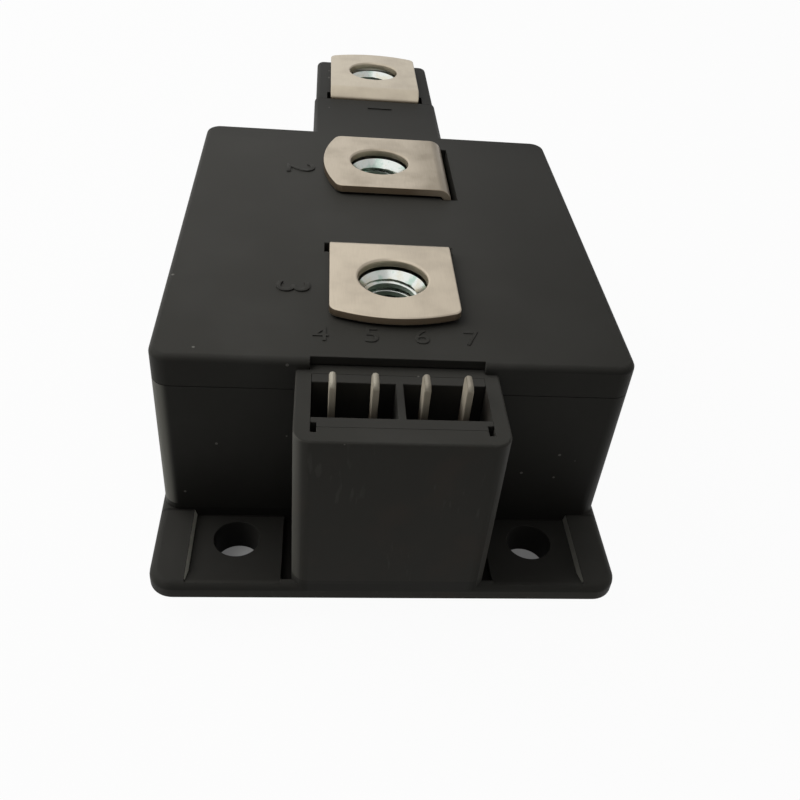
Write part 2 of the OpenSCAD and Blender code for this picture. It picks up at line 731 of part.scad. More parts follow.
// Strap from the front chip's cathode to the rear substrate's copper
module cathode_bridge() {
    high_z = cathode_z + bridge_t / 2;
    low_z = chip_z + bridge_t / 2;
    pad_y = chip_a_y - bridge_pad / 2;
    path = [
        [pad_y, high_z], [bridge_step_y, high_z], [bridge_step_y, low_z], [bridge_step_y + foot_l, low_z],
    ];
    color(copper_color) difference() {
        union() {
            translate([bridge_x + bridge_w / 2, 0, 0])
                bar_along_y(path, bridge_w, bridge_t, (high_z - low_z) / 2);
            span([-buffer_d / 2, pad_y, cathode_z], [bridge_x, pad_y + bridge_pad, bridge_top_z]);
        }
        translate([0, chip_a_y, 0]) cylinder(d = gate_hole_d, h = bridge_top_z + over);
    }
}

// Round lead swept along a path, whose square turns are rounded first
function direction(a, b) = (b - a) / norm(b - a);
function rounded_turn(p, a, b) = let (d = direction(a, p), e = direction(p, b), c = p + lead_bend_r * (e - d))
    [for (i = [0:lead_steps]) let (turn = 90 * i / lead_steps)
        c + lead_bend_r * (d * sin(turn) - e * cos(turn))];
function rounded_path(path) = let (last = len(path) - 1) concat(
    [path[0]], [for (i = [1:last - 1]) each rounded_turn(path[i], path[i - 1], path[i + 1])], [path[last]]
);
function tangent(path, i) = let (last = len(path) - 1)
    direction(path[max(i - 1, 0)], path[min(i + 1, last)]);
function squared(v, t) = let (flat = v - (v * t) * t) flat / norm(flat);
function ring_axes(path, i = 0, axis = [1, 0, 0]) = i == len(path) ? [] :
    let (own = squared(axis, tangent(path, i))) concat([own], ring_axes(path, i + 1, own));
module lead(corners, tint) {
    path = rounded_path(corners);
    axes = ring_axes(path);
    last = len(path) - 1;
    points = [for (i = [0:last], k = [0:lead_sides - 1])
        let (turn = 360 * k / lead_sides, side = cross(tangent(path, i), axes[i]))
            path[i] + lead_d / 2 * (axes[i] * cos(turn) + side * sin(turn))];
    walls = [for (i = [0:last - 1], k = [0:lead_sides - 1]) let (n = (k + 1) % lead_sides)
        [i * lead_sides + k, (i + 1) * lead_sides + k, (i + 1) * lead_sides + n, i * lead_sides + n]];
    start = [for (k = [0:lead_sides - 1]) k];
    end = [for (k = [lead_sides - 1:-1:0]) last * lead_sides + k];
    color(tint) polyhedron(points, concat([start], walls, [end]));
}

// Gate lead of the rear thyristor
module control_lead_4() {
    run_x = -plate_w / 2 - 2 * lead_pitch;
    step_y = -inner_end + lead_pitch;
    lead([
        [tab_xs[0], tab_y, tail_z], [tab_xs[0], tab_y, lead_run_z], [tab_xs[0], step_y, lead_run_z],
        [run_x, step_y, lead_run_z], [run_x, chip_b_y, lead_run_z],
        [0, chip_b_y, lead_run_z], [0, chip_b_y, buffer_z],
    ], gate_lead_color);
}

// Auxiliary cathode lead of the rear thyristor
module control_lead_5() {
    run_x = -plate_w / 2 - lead_pitch;
    step_y = -inner_end + 2 * lead_pitch;
    land = [lead_bend_r - buffer_d / 2 + lead_d, chip_b_y - lead_pitch];
    lead([
        [tab_xs[1], tab_y, tail_z], [tab_xs[1], tab_y, lead_run_z], [tab_xs[1], step_y, lead_run_z],
        [run_x, step_y, lead_run_z], [run_x, land.y, lead_run_z], [land.x, land.y, lead_run_z],
        [land.x, land.y, side_foot_top_z],
    ], cathode_lead_color);
}

// Auxiliary cathode lead of the front thyristor
module control_lead_6() {
    land_y = chip_a_y - gate_hole_d;
    lead([
        [tab_xs[2], tab_y, tail_z], [tab_xs[2], tab_y, lead_run_z],
        [tab_xs[2], land_y, lead_run_z], [tab_xs[2], land_y, bridge_top_z],
    ], cathode_lead_color);
}

// Gate lead of the front thyristor
module control_lead_7() {
    lead([
        [tab_xs[3], tab_y, tail_z], [tab_xs[3], tab_y, lead_run_z], [tab_xs[3], chip_a_y, lead_run_z],
        [0, chip_a_y, lead_run_z], [0, chip_a_y, buffer_z],
    ], gate_lead_color);
}

// Soft fill over the chips, around everything that stands in it
module silicone_gel() {
    color(gel_color) difference() {
        span([-inner_w / 2, -inner_end, base_t], [inner_w / 2, inner_end, base_t + gel_h]);
        for (end = [-1, 1]) {
            low_copper(end);
            ceramic(end);
            top_copper(end);
        }
        for (y = [chip_a_y, chip_b_y]) {
            thyristor_chip(y);
            buffer_disc(y);
        }
        cathode_bridge();
        terminal_1();
        terminal_2();
        terminal_3();
        control_lead_4();
        control_lead_5();
        control_lead_6();
        control_lead_7();
    }
}

base_plate();
housing_frame();
top_lid();
pin_carrier();
terminal_1();
terminal_2();
terminal_3();
translate([0, rear_y, 0]) nut();  // nut_1
translate([side_x, middle_y, 0]) rotate([0, 0, -90]) nut();  // nut_2
translate([0, front_y, 0]) nut();  // nut_3
control_tab(0);  // control_tab_4
control_tab(1);  // control_tab_5
control_tab(2);  // control_tab_6
control_tab(3);  // control_tab_7
low_copper(-1);  // substrate_a_low_copper
ceramic(-1);  // substrate_a_ceramic
top_copper(-1);  // substrate_a_top_copper
low_copper(1);  // substrate_b_low_copper
ceramic(1);  // substrate_b_ceramic
top_copper(1);  // substrate_b_top_copper
thyristor_chip(chip_a_y);  // thyristor_chip_a
thyristor_chip(chip_b_y);  // thyristor_chip_b
buffer_disc(chip_a_y);  // buffer_disc_a
buffer_disc(chip_b_y);  // buffer_disc_b
cathode_bridge();
control_lead_4();
control_lead_5();
control_lead_6();
control_lead_7();
silicone_gel();
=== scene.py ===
"""Looks of a power module with three screw terminals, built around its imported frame.

The plastic shells, the base plate, the contact bars and the tabs are copies of the frame's solids with
their edges rounded. The nuts are modelled anew with their threads, and the figures beside the terminals
stand on the lid. Sizes are in metres.
"""
import logging
import math
from dataclasses import dataclass
from enum import Enum
from typing import Union

import bmesh
import bpy
from mathutils import Matrix, Vector


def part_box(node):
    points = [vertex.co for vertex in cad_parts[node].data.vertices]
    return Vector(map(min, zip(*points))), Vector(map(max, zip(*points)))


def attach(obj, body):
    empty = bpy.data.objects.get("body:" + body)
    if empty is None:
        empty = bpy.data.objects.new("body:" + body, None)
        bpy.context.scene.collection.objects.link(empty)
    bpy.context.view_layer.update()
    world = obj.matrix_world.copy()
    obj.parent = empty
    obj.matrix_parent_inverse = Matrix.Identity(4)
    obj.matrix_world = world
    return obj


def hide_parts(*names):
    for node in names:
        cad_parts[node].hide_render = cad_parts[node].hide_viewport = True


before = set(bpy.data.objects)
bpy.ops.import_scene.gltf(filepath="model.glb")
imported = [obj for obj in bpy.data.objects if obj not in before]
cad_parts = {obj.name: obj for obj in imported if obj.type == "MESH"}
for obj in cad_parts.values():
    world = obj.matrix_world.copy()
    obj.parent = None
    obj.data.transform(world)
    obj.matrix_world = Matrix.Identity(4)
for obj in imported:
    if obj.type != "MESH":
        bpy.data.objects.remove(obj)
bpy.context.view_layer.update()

BODY = "root"
MM = 0.001
# Vertices of a copied solid that lie closer than this are one vertex
WELD = 0.002 * MM
# Edges with a larger angle than this show as creases
CREASE = math.radians(40)
log = logging.getLogger("module")

Colour = tuple[float, float, float]
Triple = tuple[float, float, float]
# Two levels of a value, at which something starts to show and shows in full
Band = tuple[float, float]
Number = Union["Value", float]


class Axis(Enum):
    """Direction in which a surface was rolled, ground or drawn."""

    X = 0
    Y = 1
    Z = 2


class Value:
    """An output socket on which sums are written as Python expressions."""

    def __init__(self, graph: "Graph", socket: bpy.types.NodeSocket) -> None:
        """Keep the socket and the graph that it belongs to."""
        self.graph = graph
        self.socket = socket

    def math(self, operation: str, *terms: Number) -> "Value":
        """Add a Math node.

        Args:
            operation: The node's operation.
            terms: Its inputs in order.
        Returns:
            The node's output.
        """
        return self.graph.node("ShaderNodeMath", {"operation": operation}, dict(enumerate(terms)))

    def __add__(self, other: Number) -> "Value":
        """Sum."""
        return self.math("ADD", self, other)

    def __radd__(self, other: Number) -> "Value":
        """Sum with a plain number first."""
        return self.math("ADD", other, self)

    def __sub__(self, other: Number) -> "Value":
        """Difference."""
        return self.math("SUBTRACT", self, other)

    def __rsub__(self, other: Number) -> "Value":
        """Difference with a plain number first."""
        return self.math("SUBTRACT", other, self)

    def __mul__(self, other: Number) -> "Value":
        """Product."""
        return self.math("MULTIPLY", self, other)

    def __rmul__(self, other: Number) -> "Value":
        """Product with a plain number first."""
        return self.math("MULTIPLY", other, self)

    def __gt__(self, other: Number) -> "Value":
        """One where this is the larger, and zero elsewhere."""
        return self.math("GREATER_THAN", self, other)

    def __lt__(self, other: Number) -> "Value":
        """One where this is the smaller, and zero elsewhere."""
        return self.math("LESS_THAN", self, other)

    def ramp(self, low: float, high: float) -> "Value":
        """Smooth step.

        Args:
            low: Where the step starts from zero.
            high: Where it reaches one.
        Returns:
            A value from zero to one.
        """
        settings = {"interpolation_type": "SMOOTHSTEP"}
        return self.graph.node("ShaderNodeMapRange", settings, {0: self, 1: low, 2: high})

    def swing(self, span: float) -> "Value":
        """Spread a value about one half over a span about zero."""
        return (self - 0.5) * span


class Graph:
    """A node tree that is written from the shader's inputs backwards."""

    def __init__(self, tree: bpy.types.NodeTree) -> None:
        """Empty the tree and keep it."""
        self.tree = tree
        tree.nodes.clear()

    def node(self, kind: str, settings: dict | None = None, inputs: dict | None = None,
             output: int | str = 0) -> Value:
        """Add any node.

        Args:
            kind: The node's type.
            settings: Its properties, which are set first.
            inputs: Values or links of its sockets, by name or number.
            output: The output that is wanted, by name or number.
        Returns:
            That output.
        """
        made = self.tree.nodes.new(kind)
        for name, setting in (settings or {}).items():
            setattr(made, name, setting)
        for key, term in (inputs or {}).items():
            if isinstance(term, Value):
                self.node_link(term, made.inputs[key])
            else:
                made.inputs[key].default_value = term
        return Value(self, made.outputs[output])

    def point(self, stretch: Triple = (1, 1, 1)) -> Value:
        """Point on the piece.

        Args:
            stretch: Factors on the three coordinates.
        Returns:
            The point as a vector.
        """
        place = self.node("ShaderNodeTexCoord", output="Object")
        return self.node("ShaderNodeMapping", None, {"Vector": place, "Scale": stretch})

    def parts(self, vector: Value) -> list[Value]:
        """The three coordinates of a vector."""
        made = self.node("ShaderNodeSeparateXYZ", None, {0: vector}).socket.node
        return [Value(self, made.outputs[name]) for name in "XYZ"]

    def noise(self, grain: float, detail: float = 2, stretch: Triple = (1, 1, 1)) -> Value:
        """Cloudy pattern.

        Args:
            grain: Size of its patches.
            detail: Number of finer layers on top.
            stretch: Factors on the three coordinates.
        Returns:
            A value about one half.
        """
        inputs = {"Vector": self.point(stretch), "Scale": 1 / grain, "Detail": detail}
        return self.node("ShaderNodeTexNoise", None, inputs)

    def streaks(self, axis: Axis, width: float, length: float) -> Value:
        """Fine parallel marks.

        Args:
            axis: The direction in which they run.
            width: Width of a mark.
            length: Length of a mark.
        Returns:
            A value about one half.
        """
        stretch = [1.0, 1.0, 1.0]
        stretch[axis.value] = width / length
        return self.noise(width, 2, tuple(stretch))

    def specks(self, spacing: float, size: float, share: float) -> Value:
        """Scattered dots.

        Args:
            spacing: Distance between the cells that may hold one.
            size: Radius of the largest dot.
            share: Share of the cells that hold one.
        Returns:
            One on a dot and zero elsewhere.
        """
        inputs = {"Vector": self.point(), "Scale": 1 / spacing}
        cell = self.node("ShaderNodeTexVoronoi", None, inputs, "Color")
        distance = Value(self, cell.socket.node.outputs["Distance"])
        chance = self.node("ShaderNodeSeparateColor", None, {0: cell}, "Red")
        spread = self.node("ShaderNodeSeparateColor", None, {0: cell}, "Green")
        return (distance < spread * (size / spacing)) * (chance < share)

    def blend(self, share: Number, first: Union[Value, Colour], second: Union[Value, Colour]) -> Value:
        """Mix of two colours.

        Args:
            share: How much of the second colour shows.
            first: Colour at zero.
            second: Colour at one.
        Returns:
            The mixed colour.
        """
        inputs = {0: share, 6: self.opaque(first), 7: self.opaque(second)}
        return self.node("ShaderNodeMix", {"data_type": "RGBA"}, inputs, 2)

    @staticmethod
    def opaque(colour: Union[Value, Colour]) -> Union[Value, tuple[float, ...]]:
        """Give a plain colour its fourth number."""
        return colour if isinstance(colour, Value) else (*colour, 1.0)

    def bump(self, height: Value, depth: float) -> Value:
        """Relief.

        Args:
            height: Its pattern.
            depth: The depth at which the pattern changes by one.
        Returns:
            The normal.
        """
        return self.node("ShaderNodeBump", None, {"Height": height, "Distance": depth})

    def steepness(self) -> Value:
        """Tell how steep the surface is.

        Returns:
            Zero on level faces and one on upright ones.
        """
        normal = self.node("ShaderNodeNewGeometry", output="Normal")
        level = self.node("ShaderNodeSeparateXYZ", None, {0: normal}, "Z")
        return 1 - level.math("ABSOLUTE", level)

    def seen(self) -> Value:
        """Tell what is looked at from what only gathers light.

        Returns:
            One where the camera looks, also by way of metal and glass, and zero elsewhere.
        """
        kinds = ("Camera", "Glossy", "Transmission")
        rays = [self.node("ShaderNodeLightPath", output=f"Is {kind} Ray") for kind in kinds]
        total = sum(rays[1:], rays[0])
        return total.math("MINIMUM", total, 1.0)

    def mix(self, share: Number, first: Value, second: Value) -> Value:
        """Mix of two shaders.

        Args:
            share: How much of the second shader shows.
            first: Shader at zero.
            second: Shader at one.
        Returns:
            The mixed shader.
        """
        return self.node("ShaderNodeMixShader", None, {0: share, 1: first, 2: second})

    def finish(self, kind: str, shader: Value) -> None:
        """Link a shader to an output node of that kind."""
        self.node_link(shader, self.tree.nodes.new(kind).inputs["Surface"])

    def node_link(self, value: Value, socket: bpy.types.NodeSocket) -> None:
        """Link a value to a socket."""
        self.tree.links.new(value.socket, socket)


@dataclass(frozen=True)
class Finish:
    """A surface that pieces are dressed in, and the record's slot that it belongs to."""

    slot: str
    colour: Colour
    roughness: float
    label: str = "finish"

    def sockets(self, graph: Graph) -> dict:
        """Shader inputs.

        Args:
            graph: The tree to add nodes to.
        Returns:
            Values and links by socket name.
        """
        raise NotImplementedError

    def material(self) -> bpy.types.Material:
        """Make the material, once.

        Returns:
            The material, new or made before.
        """
        name = f"{self.slot}_{self.label}"
        made = bpy.data.materials.get(name)
        if made is None:
            made = bpy.data.materials.new(name)
            made.use_nodes = True
            graph = Graph(made.node_tree)
            shader = graph.node("ShaderNodeBsdfPrincipled", None, self.sockets(graph))
            graph.finish("ShaderNodeOutputMaterial", shader)
        return made


@dataclass(frozen=True)
class MouldedPlastic(Finish):
    """Filled plastic with a fine eroded grain, faint clouds and a little dust."""

    worn: Colour = (0.035, 0.0342, 0.031)
    wear_share: float = 0.5
    grain: float = 0.16 * MM
    grain_depth: float = 0.006 * MM
    grain_gloss: float = 0.1
    cloud: float = 14 * MM
    cloud_band: Band = (0.3, 0.7)
    cloud_gloss: float = 0.16
    rub: float = 3 * MM
    rub_band: Band = (0.45, 0.75)
    rub_relief: float = 0.4
    specular: float = 0.05
    dust: Colour = (0.16, 0.155, 0.14)
    dust_spacing: float = 2.2 * MM
    dust_size: float = 0.24 * MM
    dust_chance: float = 0.12
    dust_share: float = 0.6
    # Painted shade on the lid's top, which grows darker towards the right and the rear
    shade: Colour = (0.012, 0.0117, 0.0105)
    lid: float = 30.5 * MM
    right_band: Band = (-5 * MM, 30 * MM)
    right_share: float = 0.5
    rear_band: Band = (20 * MM, 50 * MM)
    rear_share: float = 0.7

    def tone(self, graph: Graph, wear: Value) -> Value:
        """Colour of the plastic before its dust, with painted shade on the lid's top towards the right and
        the rear.

        Args:
            graph: The tree to add nodes to.
            wear: How worn the surface is.
        Returns:
            The colour.
        """
        x, y, z = graph.parts(graph.point())
        # Painted shade: share of the darker colour on the lid's top, towards the right and the rear
        lid_shade_share = x.ramp(*self.right_band) * self.right_share + y.ramp(*self.rear_band) * self.rear_share
        plain = graph.blend(wear, self.colour, self.worn)
        return graph.blend(lid_shade_share * (z > self.lid), plain, self.shade)

    def sockets(self, graph: Graph) -> dict:
        """Shader inputs, as in Finish."""
        grain = graph.noise(self.grain, 3)
        cloud = graph.noise(self.cloud, 4)
        wear_and_highlight = graph.noise(self.rub, 3) * cloud.ramp(*self.rub_band)
        dust = graph.specks(self.dust_spacing, self.dust_size, self.dust_chance)
        tone = self.tone(graph, (cloud.ramp(*self.cloud_band) + wear_and_highlight) * self.wear_share)
        return {
            "Base Color": graph.blend(dust * self.dust_share, tone, self.dust),
            "Roughness": self.roughness + cloud.swing(self.cloud_gloss) + grain.swing(self.grain_gloss),
            "Specular IOR Level": self.specular,
            "Normal": graph.bump(grain + wear_and_highlight * self.rub_relief, self.grain_depth),
        }


@dataclass(frozen=True)
class FootedPlastic(MouldedPlastic):
    """The frame's plastic, with painted highlights on its pocket walls and left corners, painted light on
    the socket block under brown smudges and pale scuffs, and painted shade in its pockets and grooves and
    low on the front wall.
    """

    # Painted highlight on the side walls of the pockets and on the left corners of the body and the socket
    wear_and_highlight: Colour = (0.65, 0.64, 0.56)
    # Painted light on the sides of the socket block; the same lighter tone lies along the foot's toe
    painted_light_tone: Colour = (0.046, 0.0437, 0.0385)
    smudge: Colour = (0.066, 0.05, 0.041)
    scuff: Colour = (0.085, 0.081, 0.073)
    # Painted shade in the pockets and grooves, on the left of the foot and low on the front wall
    painted_shade: Colour = (0.006, 0.0055, 0.005)
    slope_band: Band = (0.1, 0.4)

    # Places on the foot
    ear: float = 12.6 * MM
    lip: float = 1.05 * MM
    pad: float = 1.42 * MM
    rim: float = 4.5 * MM
    wall: float = 0.45 * MM
    groove: float = 1.25 * MM
    toe: float = 0.5 * MM

    # Places above it
    skirt: float = 2 * MM
    skin: float = 0.2 * MM
    block_gap: float = 1 * MM
    socket_half: float = 12.1 * MM
    socket_depth: float = 1.7 * MM
    socket_across: Band = (1.2 * MM, 0.5 * MM)
    corner_across: Band = (2.5 * MM, 1.5 * MM)
    corner_along: Band = (3 * MM, 0.8 * MM)
    front_band: Band = (25 * MM, 6 * MM)
    foot_band: Band = (10 * MM, -10 * MM)

    # How much of each colour shows there
    block_share: float = 0.5
    toe_share: float = 0.8
    pocket_share: float = 0.25
    groove_share: float = 0.6
    front_share: float = 0.5
    foot_share: float = 0.22
    right_wall: float = 0.25
    corner_share: float = 0.15
    socket_share: float = 0.05

    # Marks of handling
    smudge_size: float = 6 * MM
    smudge_band: Band = (0.48, 0.72)
    smudge_share: float = 0.5
    scuff_width: float = 0.7 * MM
    scuff_length: float = 4 * MM
    scuff_band: Band = (0.6, 0.72)
    scuff_share: float = 0.6
    patch: float = 7 * MM
    patch_band: Band = (0.5, 0.65)

    def tone(self, graph: Graph, wear: Value) -> Value:
        """Colour of the plastic, as in MouldedPlastic."""
        sloping = graph.steepness().ramp(*self.slope_band)
        plain = super().tone(graph, wear)
        # Painted light on the socket block, painted shade in low places and painted highlights on walls and
        # corners, laid over the plain tone
        painted_light_tone = graph.blend(self.painted_light_share(graph) * sloping, plain, self.painted_light_marked(graph))
        with_painted_shade = graph.blend(self.painted_shade_share(graph), painted_light_tone, self.painted_shade)
        return graph.blend(self.painted_highlight_share(graph) * sloping, with_painted_shade, self.wear_and_highlight)

    def level(self) -> float:
        """Height just above the floors of the screw pockets."""
        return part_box("base_plate")[1].z + self.pad

    def on_ear(self, graph: Graph) -> Value:
        """Find the ears of the foot.

        Args:
            graph: The tree to add nodes to.
        Returns:
            One along the ears, and zero elsewhere.
        """
        end = -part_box("housing_frame")[0].y
        y = graph.parts(graph.point())[1]
        along = y.math("ABSOLUTE", y)
        return (along > end - self.ear) * (along < end - self.lip)

    def painted_light_share(self, graph: Graph) -> Value:
        """Share of the lighter tone: painted light on the socket block, and the same tone along the toe of
        the foot.

        Args:
            graph: The tree to add nodes to.
        Returns:
            A value from zero to one.
        """
        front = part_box("housing_frame")[0].y
        _, y, z = graph.parts(graph.point())
        block = (y < front + self.ear - self.block_gap) * (z > self.level() + self.skirt)
        toe = (y < front + self.toe) * (z < self.level())
        return block * self.block_share + toe * self.toe_share

    def painted_light_marked(self, graph: Graph) -> Value:
        """Colour of the painted light on the socket block, with brown smudges and pale scuffs.

        Args:
            graph: The tree to add nodes to.
        Returns:
            The colour.
        """
        smudge = graph.noise(self.smudge_size, 3).ramp(*self.smudge_band) * self.smudge_share
        lines = graph.streaks(Axis.Z, self.scuff_width, self.scuff_length).ramp(*self.scuff_band)
        scuff = lines * graph.noise(self.patch, 1).ramp(*self.patch_band)
        brown = graph.blend(smudge, self.painted_light_tone, self.smudge)
        return graph.blend(scuff * self.scuff_share, brown, self.scuff)

    def painted_shade_share(self, graph: Graph) -> Value:
        """Share of painted shade, which lies in the pockets and grooves, on the left of the foot and low on
        the front wall.

        Args:
            graph: The tree to add nodes to.
        Returns:
            A value from zero to one.
        """
        low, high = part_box("housing_frame")
        x, y, z = graph.parts(graph.point())
        across = x.math("ABSOLUTE", x)
        pocket = (across > self.socket_half) * (across < high.x - self.rim) * (z < self.level() + self.pad)
        groove = (across < self.socket_half + self.groove) * (z < self.level())
        deep = self.on_ear(graph) * pocket * (self.pocket_share + groove * self.groove_share)
        # Painted shade on the left of the foot and towards the bottom of the front wall
        foot = (z < self.level() + self.pad) * x.ramp(*self.foot_band) * self.foot_share
        front = (y > low.y + self.ear - self.skin) * (y < low.y + self.ear + self.skin)
        return foot + deep + front * z.ramp(*self.front_band) * self.front_share

    def painted_highlight_share(self, graph: Graph) -> Value:
        """Share of painted highlight, which lies on the side walls of the pockets and on the left corners.

        Args:
            graph: The tree to add nodes to.
        Returns:
            A value from zero to one.
        """
        low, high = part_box("housing_frame")
        x, y, z = graph.parts(graph.point())
        across = x.math("ABSOLUTE", x)
        rim = high.x - self.rim
        wall = (across > rim - self.wall) * (across < rim) * (z > self.level())
        # The walls on the right take less of the painted highlight than those on the left
        side = self.right_wall + (x < 0) * (1 - self.right_wall)
        # Painted highlight on the body's left front corner and beside the socket's left side
        edge = y.ramp(*(low.y + self.ear + reach for reach in self.corner_along))
        body = x.ramp(*(-high.x + reach for reach in self.corner_across)) * edge * self.corner_share
        near = x.ramp(*(-self.socket_half + reach for reach in self.socket_across))
        socket = near * (y < low.y + self.socket_depth) * self.socket_share
        return self.on_ear(graph) * wall * side + (body + socket) * (z > self.level() + self.skirt)


@dataclass(frozen=True)
class PlatedMetal(Finish):
    """Plated strip with fine rolling marks, faint stains, a tone of its own on upright faces that is partly
    a browner cut edge and partly painted shade, and painted shade along one axis.
    """

    # Colour of the faint stains, and also of the painted shade along one axis
    stain_and_shade: Colour = (0.47, 0.405, 0.32)
    stain_band: Band = (0.4, 0.75)
    stain_share: float = 0.5
    # Tone of the upright faces: on the bars a browner cut edge, darkened further as painted shade
    edge: Colour = (0.145, 0.1, 0.058)
    edge_band: Band = (0.6, 0.95)
    edge_share: float = 0.85
    edge_gloss: float = 0.2
    rolled: Axis = Axis.Y
    mark: float = 0.07 * MM
    mark_length: float = 3 * MM
    mark_depth: float = 0.0012 * MM
    mark_level: float = 0.4
    mark_share: float = 0.4
    mark_gloss: float = 0.18
    nick_spacing: float = 1.6 * MM
    nick_size: float = 0.09 * MM
    nick_chance: float = 0.2
    nick_share: float = 0.3
    nick_relief: float = 0.5
    cloud: float = 5 * MM
    cloud_gloss: float = 0.12
    metal: float = 1.0
    # Painted shade along one axis: how far it darkens towards the stain colour, the axis and the band
    tarnish_and_shade: float = 0.0
    painted_shade_axis: Axis = Axis.X
    tarnish_and_shade_band: Band = (0.0, 1.0)
    nut: str = ""
    hole_r: float = 4.75 * MM
    hole_share: float = 0.7

    def in_hole(self, graph: Graph) -> Number:
        """One on the wall of the hole over the nut, and zero elsewhere.

        Args:
            graph: The tree to add nodes to.
        Returns:
            A value, or plain zero where there is no nut.
        """
        if not self.nut:
            return 0.0
        middle = sum(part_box(self.nut), Vector()) / 2
        x, y, _ = graph.parts(graph.point())
        across, along = x - middle.x, y - middle.y
        return across * across + along * along < self.hole_r ** 2

    def sockets(self, graph: Graph) -> dict:
        """Shader inputs, as in Finish."""
        marks = graph.streaks(self.rolled, self.mark, self.mark_length)
        cloud = graph.noise(self.cloud, 4)
        nicks = graph.specks(self.nick_spacing, self.nick_size, self.nick_chance)
        # Upright faces take that tone, less so on the wall of the hole over the nut
        upright_share = graph.steepness().ramp(*self.edge_band) * (1 - self.in_hole(graph) * self.hole_share)
        # Painted shade: darker along one axis, towards the right end of the side bar and down the tabs
        place = graph.parts(graph.point())[self.painted_shade_axis.value]
        dull = place.ramp(*self.tarnish_and_shade_band) * self.tarnish_and_shade
        lines = (marks - self.mark_level) * self.mark_share
        uneven = cloud.ramp(*self.stain_band) * self.stain_share + lines + nicks * self.nick_share
        face = graph.blend(uneven + dull, self.colour, self.stain_and_shade)
        gloss = self.roughness + marks.swing(self.mark_gloss) + cloud.swing(self.cloud_gloss)
        return {
            "Base Color": graph.blend(upright_share * (1 - dull) * self.edge_share, face, self.edge),
            "Metallic": self.metal,
            "Roughness": gloss + upright_share * self.edge_gloss,
            "Normal": graph.bump(marks - nicks * self.nick_relief, self.mark_depth),
        }


@dataclass(frozen=True)
class BrightZinc(Finish):
    """Bright zinc plate with faint green and straw tints of its passivation, and a duller, greener, less
    metallic tone on its upright faces.
    """

    green: Colour = (0.54, 0.68, 0.6)
    green_band: Band = (0.35, 0.5)
    straw: Colour = (0.76, 0.72, 0.56)
    straw_band: Band = (0.52, 0.7)
    straw_share: float = 0.7
    flank_tint: Colour = (0.26, 0.34, 0.27)
    flank_band: Band = (0.6, 0.9)
    flank_share: float = 0.85
    flank_cover: float = 0.8
    patch: float = 2.2 * MM
    patch_gloss: float = 0.1
    mark: float = 0.12 * MM
    mark_stretch: Triple = (1, 1, 0.3)
    mark_depth: float = 0.002 * MM
    mark_gloss: float = 0.12

    def sockets(self, graph: Graph) -> dict:
        """Shader inputs, as in Finish."""
        patch = graph.noise(self.patch, 3)
        marks = graph.noise(self.mark, 2, self.mark_stretch)
        tint = graph.blend(patch.ramp(*self.green_band), self.green, self.colour)
        plate = graph.blend(patch.ramp(*self.straw_band) * self.straw_share, tint, self.straw)
        on_flank = graph.steepness().ramp(*self.flank_band) * self.flank_share
        return {
            "Base Color": graph.blend(on_flank, plate, self.flank_tint),
            "Metallic": 1 - on_flank * self.flank_cover,
            "Roughness": self.roughness + marks.swing(self.mark_gloss) + patch.swing(self.patch_gloss),
            "Normal": graph.bump(marks + patch, self.mark_depth),
        }


@dataclass(frozen=True)
class BareMetal(Finish):
    """Ground or lapped metal with parallel marks and tarnish."""

    tarnish_and_shade: Colour = (0.4, 0.24, 0.17)
    tarnish_and_shade_band: Band = (0.45, 0.8)
    tarnish_share: float = 0.7
    tarnish_gloss: float = 0.2
    ground: Axis = Axis.X
    mark: float = 0.12 * MM
    mark_length: float = 8 * MM
    mark_depth: float = 0.003 * MM
    mark_share: float = 0.3
    mark_gloss: float = 0.25
    cloud: float = 9 * MM

    def sockets(self, graph: Graph) -> dict:
        """Shader inputs, as in Finish."""
        marks = graph.streaks(self.ground, self.mark, self.mark_length)
        dull = graph.noise(self.cloud, 5).ramp(*self.tarnish_and_shade_band)
        share = dull * self.tarnish_share + marks.swing(self.mark_share)
        return {
            "Base Color": graph.blend(share, self.colour, self.tarnish_and_shade),
            "Metallic": 1.0,
            "Roughness": self.roughness + marks.swing(self.mark_gloss) + dull * self.tarnish_gloss,
            "Normal": graph.bump(marks, self.mark_depth),
        }


@dataclass(frozen=True)
class FiredCeramic(Finish):
    """Unglazed white ceramic with a fine tooth and faint grey clouds."""

    shade: Colour = (0.8, 0.79, 0.74)
    cloud: float = 5 * MM
    tooth: float = 0.05 * MM
    tooth_depth: float = 0.002 * MM
    tooth_gloss: float = 0.2

    def sockets(self, graph: Graph) -> dict:
        """Shader inputs, as in Finish."""
        tooth = graph.noise(self.tooth, 2)
        return {
            "Base Color": graph.blend(graph.noise(self.cloud, 3), self.colour, self.shade),
            "Roughness": self.roughness + tooth.swing(self.tooth_gloss),
            "Normal": graph.bump(tooth, self.tooth_depth),
        }


@dataclass(frozen=True)
class PolishedSilicon(Finish):
    """Dark polished chip with a faint blue cast that drifts across it."""

    cast: Colour = (0.16, 0.2, 0.3)
    drift: float = 8 * MM
    drift_band: Band = (0.3, 0.7)
    drift_gloss: float = 0.08
    metal: float = 0.8

    def sockets(self, graph: Graph) -> dict:
        """Shader inputs, as in Finish."""
        drift = graph.noise(self.drift, 2)
        return {
            "Base Color": graph.blend(drift.ramp(*self.drift_band), self.colour, self.cast),
            "Metallic": self.metal,
            "Roughness": self.roughness + drift.swing(self.drift_gloss),
        }


